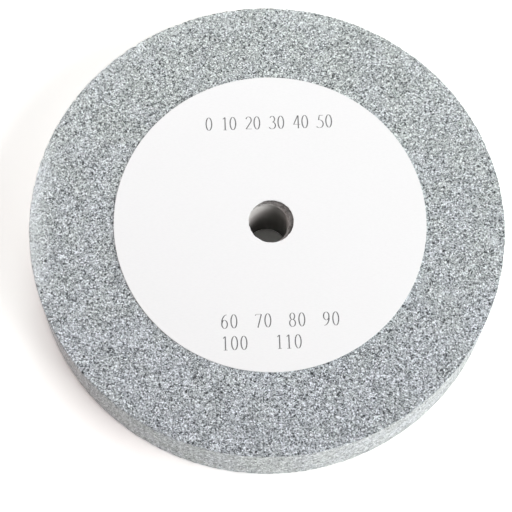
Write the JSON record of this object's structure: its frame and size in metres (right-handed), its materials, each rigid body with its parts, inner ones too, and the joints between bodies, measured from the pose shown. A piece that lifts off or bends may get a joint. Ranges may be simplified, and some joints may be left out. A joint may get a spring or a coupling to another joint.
{
  "type": "grinding wheel",
  "caption": "Straight bonded abrasive wheel for a bench grinder, with a bushed arbor bore and a round paper label on its front face.",
  "frame": {"origin": "centre of the rear face, on the arbor axis", "axes": "+Z along the arbor axis, out of the labelled front face; -Y is the side nearest to someone who reads the label"},
  "size_m": [0.15, 0.15, 0.0255],
  "materials": {
    "bonded_abrasive": "open, speckled blue-grey grain in a vitrified bond",
    "cast_bush": "smooth, light warm grey casting, coarse and darker round its mouths",
    "label_paper": "plain white uncoated paper"
  },
  "bodies": {
    "root": {"abrasive_wheel": "bonded_abrasive", "bore_bush": "cast_bush", "paper_label": "label_paper"}
  },
  "joints": []
}
